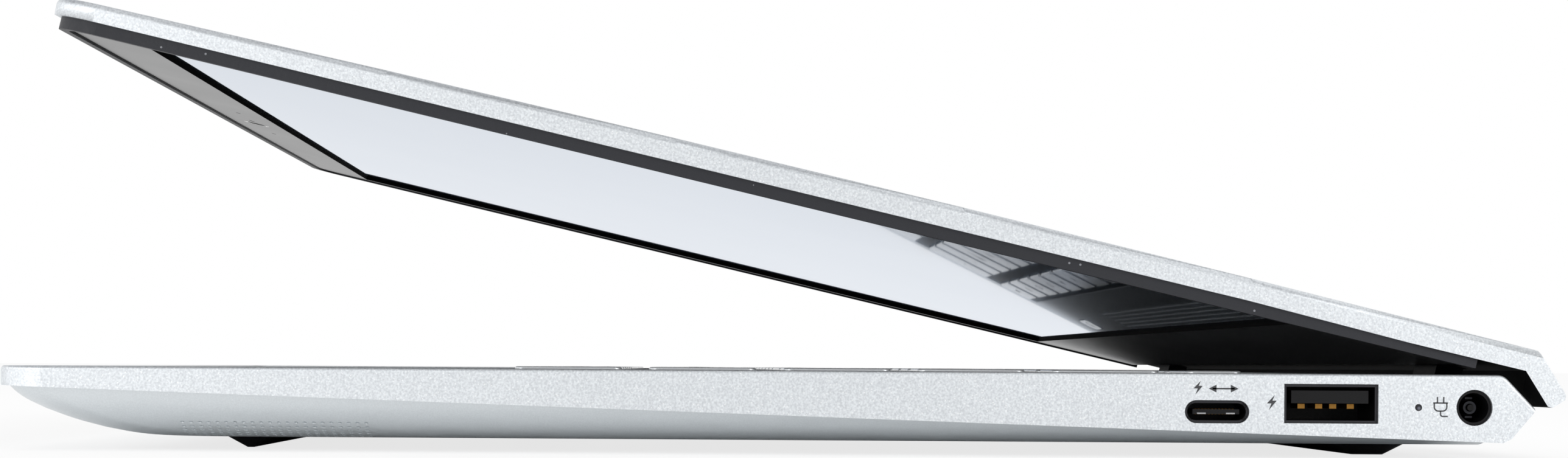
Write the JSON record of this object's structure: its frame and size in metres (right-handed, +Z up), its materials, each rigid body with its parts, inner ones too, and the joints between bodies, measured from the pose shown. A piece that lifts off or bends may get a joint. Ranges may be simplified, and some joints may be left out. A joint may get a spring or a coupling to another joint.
{
  "type": "laptop computer",
  "caption": "Thin silver laptop computer, lid a little open on a rear hinge with a bent-down tail, with keyboard, touchpad, side sockets and bar feet.",
  "frame": {"origin": "middle of the footprint at rest, on the plane of the feet", "axes": "+X to the user's right, +Y from the user to the hinge, +Z up"},
  "size_m": [0.3054, 0.2222, 0.0645],
  "materials": {
    "silver": "sand-blasted and anodised, satin",
    "key_silver": "painted, satin",
    "dark_rubber": "matt",
    "black_gloss": "gloss",
    "display_glass": "polished",
    "black_plastic": "fine texture",
    "steel": "stamped",
    "circuit_board": "solder mask",
    "copper": "plain copper",
    "battery_wrap": "wrapped cells",
    "light_window": "translucent",
    "touch_surface": "satin glass"
  },
  "bodies": {
    "base": {"top_case": "silver", "bottom_cover": "silver", "cover_screws": "steel", "front_foot": "dark_rubber", "rear_foot": "dark_rubber", "keyboard_frame": "black_plastic", "keyboard_plate": "steel", "speaker_grille": "silver", "touchpad_bracket": "steel", "touchpad_switch": "black_plastic", "base_hinge_bracket_left": "steel", "base_hinge_bracket_right": "steel", "hinge_screws": "steel", "motherboard": "circuit_board", "io_board": "circuit_board", "processor": "black_plastic", "ssd_module": "circuit_board", "wireless_card": "circuit_board", "heat_pipe": "copper", "heatsink_fins": "copper", "fan_housing": "black_plastic", "battery_pack": "battery_wrap", "speaker_left": "black_plastic", "speaker_right": "black_plastic", "usb_a_port_left": "steel", "usb_a_port_right": "steel", "usb_c_port_left": "steel", "usb_c_port_right": "steel", "dc_jack": "black_plastic", "audio_jack": "black_plastic", "card_slot": "steel", "charge_light": "light_window"},
    "lid": {"lid_cover": "silver", "lid_gasket": "dark_rubber", "display_bezel": "black_gloss", "display_glass": "display_glass", "lcd_panel": "black_plastic", "webcam_module": "circuit_board", "webcam_lens": "black_gloss", "antenna_boards": "circuit_board", "hinge_cover": "black_plastic", "lid_hinge_bracket_left": "steel", "lid_hinge_bracket_right": "steel", "hinge_pin_left": "steel", "hinge_pin_right": "steel"},
    "function_row_keys": {"function_row_keys": "key_silver"},
    "number_row_keys": {"number_row_keys": "key_silver"},
    "upper_row_keys": {"upper_row_keys": "key_silver"},
    "home_row_keys": {"home_row_keys": "key_silver"},
    "lower_row_keys": {"lower_row_keys": "key_silver"},
    "bottom_row_keys": {"bottom_row_keys": "key_silver"},
    "arrow_keys": {"arrow_keys": "key_silver"},
    "space_bar": {"space_bar": "key_silver"},
    "enter_key": {"enter_key": "key_silver"},
    "backspace_key": {"backspace_key": "key_silver"},
    "left_shift_key": {"left_shift_key": "key_silver"},
    "right_shift_key": {"right_shift_key": "key_silver"},
    "touchpad": {"touchpad": "touch_surface"},
    "power_button": {"power_button": "key_silver"},
    "fan_rotor": {"fan_rotor": "black_plastic"}
  },
  "joints": [
    {"name": "lid_hinge", "type": "hinge", "parent": "base", "child": "lid", "pos_m": [0, 0.10099, 0.0074], "axis": [-1, 0, 0], "range_deg": [-13.2, 111.8]},
    {"name": "function_row_keys_press", "type": "slide", "parent": "base", "child": "function_row_keys", "axis": [0, 0, -1], "range_m": [0, 0.0012], "stiffness_N_per_m": 2250, "springref_m": -0.002},
    {"name": "number_row_keys_press", "type": "slide", "parent": "base", "child": "number_row_keys", "axis": [0, 0, -1], "range_m": [0, 0.0012], "stiffness_N_per_m": 2100, "springref_m": -0.002},
    {"name": "upper_row_keys_press", "type": "slide", "parent": "base", "child": "upper_row_keys", "axis": [0, 0, -1], "range_m": [0, 0.0012], "stiffness_N_per_m": 2250, "springref_m": -0.002},
    {"name": "home_row_keys_press", "type": "slide", "parent": "base", "child": "home_row_keys", "axis": [0, 0, -1], "range_m": [0, 0.0012], "stiffness_N_per_m": 1950, "springref_m": -0.002},
    {"name": "lower_row_keys_press", "type": "slide", "parent": "base", "child": "lower_row_keys", "axis": [0, 0, -1], "range_m": [0, 0.0012], "stiffness_N_per_m": 1650, "springref_m": -0.002},
    {"name": "bottom_row_keys_press", "type": "slide", "parent": "base", "child": "bottom_row_keys", "axis": [0, 0, -1], "range_m": [0, 0.0012], "stiffness_N_per_m": 900, "springref_m": -0.002},
    {"name": "arrow_keys_press", "type": "slide", "parent": "base", "child": "arrow_keys", "axis": [0, 0, -1], "range_m": [0, 0.0012], "stiffness_N_per_m": 600, "springref_m": -0.002},
    {"name": "space_bar_press", "type": "slide", "parent": "base", "child": "space_bar", "axis": [0, 0, -1], "range_m": [0, 0.0012], "stiffness_N_per_m": 150, "springref_m": -0.002},
    {"name": "enter_key_press", "type": "slide", "parent": "base", "child": "enter_key", "axis": [0, 0, -1], "range_m": [0, 0.0012], "stiffness_N_per_m": 150, "springref_m": -0.002},
    {"name": "backspace_key_press", "type": "slide", "parent": "base", "child": "backspace_key", "axis": [0, 0, -1], "range_m": [0, 0.0012], "stiffness_N_per_m": 150, "springref_m": -0.002},
    {"name": "left_shift_key_press", "type": "slide", "parent": "base", "child": "left_shift_key", "axis": [0, 0, -1], "range_m": [0, 0.0012], "stiffness_N_per_m": 150, "springref_m": -0.002},
    {"name": "right_shift_key_press", "type": "slide", "parent": "base", "child": "right_shift_key", "axis": [0, 0, -1], "range_m": [0, 0.0012], "stiffness_N_per_m": 150, "springref_m": -0.002},
    {"name": "power_press", "type": "slide", "parent": "base", "child": "power_button", "axis": [0, 0, -1], "range_m": [0, 0.0005], "stiffness_N_per_m": 400, "springref_m": -0.002},
    {"name": "touchpad_click", "type": "hinge", "parent": "base", "child": "touchpad", "pos_m": [0, -0.04791, 0.00977], "axis": [1, 0, 0], "range_deg": [0, 0.4], "stiffness_Nm_per_rad": 6, "springref_deg": -0.34},
    {"name": "fan_spin", "type": "hinge", "parent": "base", "child": "fan_rotor", "pos_m": [-0.065, 0.06409, 0.0051], "axis": [0, 0, 1], "continuous": true}
  ]
}
